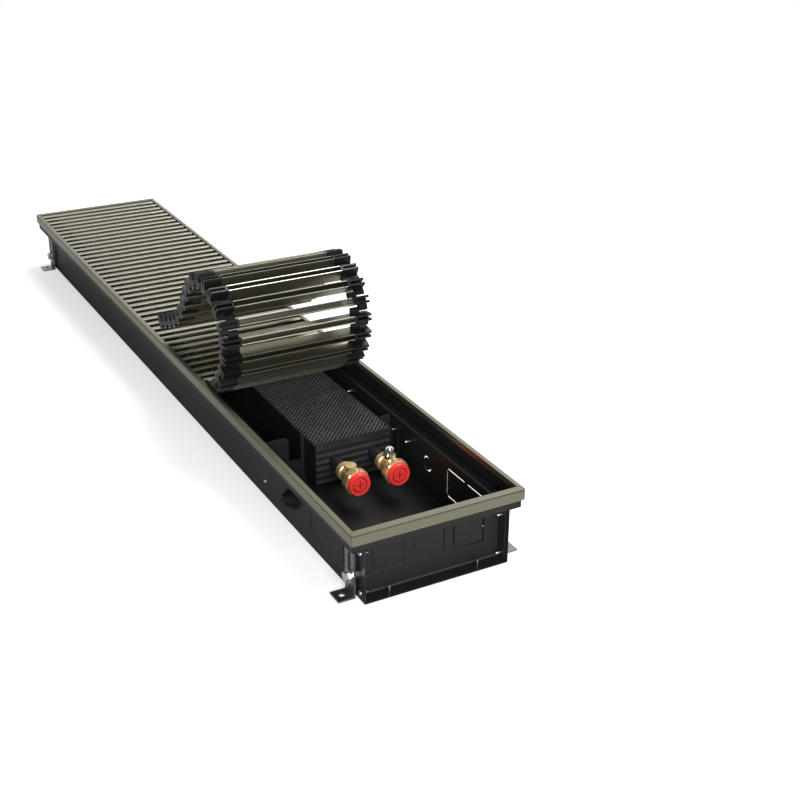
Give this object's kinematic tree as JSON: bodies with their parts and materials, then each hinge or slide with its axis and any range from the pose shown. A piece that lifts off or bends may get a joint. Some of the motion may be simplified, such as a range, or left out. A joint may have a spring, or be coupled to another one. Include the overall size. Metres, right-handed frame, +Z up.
{
  "type": "trench convector heater",
  "caption": "Floor trench convector heater: black folded trough with finned water coil and union valves, mitred bronze frame and a roll-up bar grille that is half rolled back.",
  "frame": {"origin": "on the sub-floor under the middle of the trench", "axes": "+X runs along the trench to the connection end, +Y across it, +Z up"},
  "size_m": [1.154, 0.2126, 0.2216],
  "materials": {
    "black_powder": "fine-textured black powder coat on folded steel",
    "fins": "black lacquered aluminium fins",
    "tube": "black lacquered metal tube",
    "bronze_frame": "light bronze anodised extrusion with fine draw lines",
    "grille_aluminium": "light bronze anodised bars on black plastic end links",
    "rubber": "matt black rubber",
    "brass": "turned brass",
    "red_plastic": "moulded red plastic",
    "nickel": "bright nickel plate",
    "zinc": "zinc plated pressed steel"
  },
  "bodies": {
    "casing": {"trough_floor": "black_powder", "trough_wall_right": "black_powder", "trough_wall_left": "black_powder", "upstand_right": "black_powder", "upstand_left": "black_powder", "end_plate_near": "black_powder", "end_plate_far": "black_powder", "frame_left": "bronze_frame", "frame_right": "bronze_frame", "frame_near": "bronze_frame", "frame_far": "bronze_frame", "rest_strip_left": "rubber", "rest_strip_right": "rubber", "fin_pack": "fins", "coil_tube": "tube", "coil_side_left": "black_powder", "coil_side_right": "black_powder", "bracket_near": "black_powder", "bracket_far": "black_powder", "valve_body_left": "brass", "valve_body_right": "brass", "drain_plug": "brass", "air_vent": "nickel", "cable_grommet": "rubber", "leg_bolt_near_right": "zinc", "leg_bolt_near_left": "zinc", "leg_bolt_far_right": "zinc", "leg_bolt_far_left": "zinc"},
    "leg_near_right": {"leg_near_right": "zinc"},
    "leg_near_left": {"leg_near_left": "zinc"},
    "leg_far_right": {"leg_far_right": "zinc"},
    "leg_far_left": {"leg_far_left": "zinc"},
    "union_nut_left": {"union_nut_left": "brass"},
    "union_nut_right": {"union_nut_right": "brass"},
    "cap_left": {"cap_left": "red_plastic"},
    "cap_right": {"cap_right": "red_plastic"},
    "vent_screw": {"vent_screw": "nickel"},
    "grille_flat": {"grille_flat": "grille_aluminium"},
    "grille_roll_1": {"grille_bar_01": "grille_aluminium", "grille_bar_02": "grille_aluminium", "grille_bar_03": "grille_aluminium", "grille_bar_04": "grille_aluminium", "grille_bar_05": "grille_aluminium"},
    "grille_roll_2": {"grille_bar_06": "grille_aluminium", "grille_bar_07": "grille_aluminium", "grille_bar_08": "grille_aluminium", "grille_bar_09": "grille_aluminium", "grille_bar_10": "grille_aluminium"},
    "grille_roll_3": {"grille_bar_11": "grille_aluminium", "grille_bar_12": "grille_aluminium", "grille_bar_13": "grille_aluminium", "grille_bar_14": "grille_aluminium"},
    "grille_roll_4": {"grille_bar_15": "grille_aluminium", "grille_bar_16": "grille_aluminium", "grille_bar_17": "grille_aluminium", "grille_bar_18": "grille_aluminium", "grille_bar_19": "grille_aluminium", "grille_bar_20": "grille_aluminium", "grille_bar_21": "grille_aluminium", "grille_bar_22": "grille_aluminium"}
  },
  "joints": [
    {"name": "leg_near_right_level", "type": "slide", "parent": "casing", "child": "leg_near_right", "axis": [0, 0, -1], "range_m": [0, 0.025]},
    {"name": "leg_near_left_level", "type": "slide", "parent": "casing", "child": "leg_near_left", "axis": [0, 0, -1], "range_m": [0, 0.025]},
    {"name": "leg_far_right_level", "type": "slide", "parent": "casing", "child": "leg_far_right", "axis": [0, 0, -1], "range_m": [0, 0.025]},
    {"name": "leg_far_left_level", "type": "slide", "parent": "casing", "child": "leg_far_left", "axis": [0, 0, -1], "range_m": [0, 0.025]},
    {"name": "union_nut_left_turn", "type": "hinge", "parent": "casing", "child": "union_nut_left", "pos_m": [0.399, -0.005, 0.035], "axis": [1, 0, 0], "continuous": true},
    {"name": "union_nut_right_turn", "type": "hinge", "parent": "casing", "child": "union_nut_right", "pos_m": [0.399, 0.045, 0.035], "axis": [1, 0, 0], "continuous": true},
    {"name": "cap_left_pull", "type": "slide", "parent": "casing", "child": "cap_left", "axis": [1, 0, 0], "range_m": [0, 0.04]},
    {"name": "cap_right_pull", "type": "slide", "parent": "casing", "child": "cap_right", "axis": [1, 0, 0], "range_m": [0, 0.04]},
    {"name": "vent_screw_turn", "type": "hinge", "parent": "casing", "child": "vent_screw", "pos_m": [0.385, 0.045, 0.055], "axis": [0, 0, 1], "range_deg": [0, 360]},
    {"name": "grille_lift", "type": "slide", "parent": "casing", "child": "grille_flat", "axis": [0, 0, 1], "range_m": [0, 0.15]},
    {"name": "grille_hinge_01", "type": "hinge", "parent": "grille_flat", "child": "grille_roll_1", "pos_m": [0.15937, 0, 0.079], "axis": [0, 1, 0], "range_deg": [0, 11.52]},
    {"name": "grille_hinge_06", "type": "hinge", "parent": "grille_roll_1", "child": "grille_roll_2", "pos_m": [0.23247, 0, 0.13066], "axis": [0, 1, 0], "range_deg": [0, 18.21]},
    {"name": "grille_hinge_11", "type": "hinge", "parent": "grille_roll_2", "child": "grille_roll_3", "pos_m": [0.19559, 0, 0.20675], "axis": [0, 1, 0], "range_deg": [0, 18.21]},
    {"name": "grille_hinge_15", "type": "hinge", "parent": "grille_roll_3", "child": "grille_roll_4", "pos_m": [0.12861, 0, 0.18526], "axis": [0, 1, 0], "range_deg": [0, 9.37]}
  ]
}
